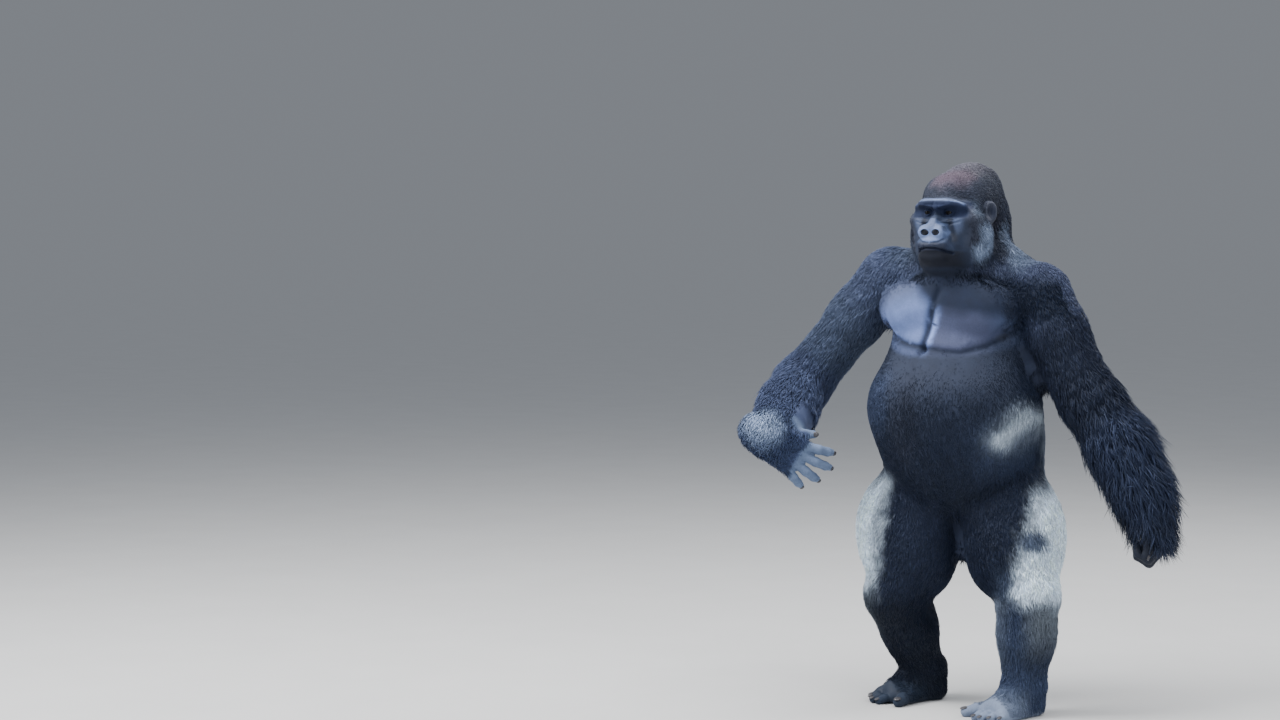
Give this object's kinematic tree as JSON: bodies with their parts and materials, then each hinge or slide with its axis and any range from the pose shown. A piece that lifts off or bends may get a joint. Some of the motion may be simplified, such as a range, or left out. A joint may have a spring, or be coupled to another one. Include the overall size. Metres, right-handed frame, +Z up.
{
  "type": "gorilla",
  "caption": "Life-size standing silverback gorilla, a still museum model with bare chest, silver thighs and one arm crossed low in front",
  "frame": {"origin": "On the floor, under the middle of the bounding box of the whole animal", "axes": "+Z up, the chest faces -Y, the animal's left side is +X"},
  "size_m": [1.3218, 0.6076, 1.6524],
  "materials": {
    "crest_hair": "short red-brown hair over grey, matt",
    "face_skin": "bare blue-black skin, creased, a soft gloss on nose and brow",
    "bare_chest_skin": "bare slate skin, fairly glossy",
    "dark_coat": "short dense near-black hair, matt",
    "long_arm_coat": "long shaggy near-black hair, matt",
    "silver_coat": "short silver-white hair, matt",
    "grey_coat": "short blue-grey hair, matt",
    "hand_and_foot_skin": "bare black skin, wrinkled, soft gloss",
    "eye": "wet dark brown eye, clear gloss"
  },
  "bodies": {
    "root": {"belly": "dark_coat", "big_toe_left": "hand_and_foot_skin", "big_toe_right": "hand_and_foot_skin", "chest": "bare_chest_skin", "ear_left": "face_skin", "ear_right": "face_skin", "eye_left": "eye", "eye_right": "eye", "face": "face_skin", "fifth_toe_left": "hand_and_foot_skin", "fifth_toe_right": "hand_and_foot_skin", "foot_left": "hand_and_foot_skin", "foot_right": "hand_and_foot_skin", "forearm_left": "long_arm_coat", "forearm_right": "long_arm_coat", "fourth_toe_left": "hand_and_foot_skin", "fourth_toe_right": "hand_and_foot_skin", "hand_left": "hand_and_foot_skin", "hand_right": "hand_and_foot_skin", "head": "crest_hair", "index_finger_left": "hand_and_foot_skin", "index_finger_right": "hand_and_foot_skin", "little_finger_left": "hand_and_foot_skin", "little_finger_right": "hand_and_foot_skin", "middle_finger_left": "hand_and_foot_skin", "middle_finger_right": "hand_and_foot_skin", "neck": "dark_coat", "pelvis": "dark_coat", "ring_finger_left": "hand_and_foot_skin", "ring_finger_right": "hand_and_foot_skin", "second_toe_left": "hand_and_foot_skin", "second_toe_right": "hand_and_foot_skin", "shank_left": "grey_coat", "shank_right": "grey_coat", "thigh_left": "silver_coat", "thigh_right": "silver_coat", "third_toe_left": "hand_and_foot_skin", "third_toe_right": "hand_and_foot_skin", "thumb_left": "hand_and_foot_skin", "thumb_right": "hand_and_foot_skin", "upper_arm_left": "dark_coat", "upper_arm_right": "dark_coat"}
  },
  "joints": []
}
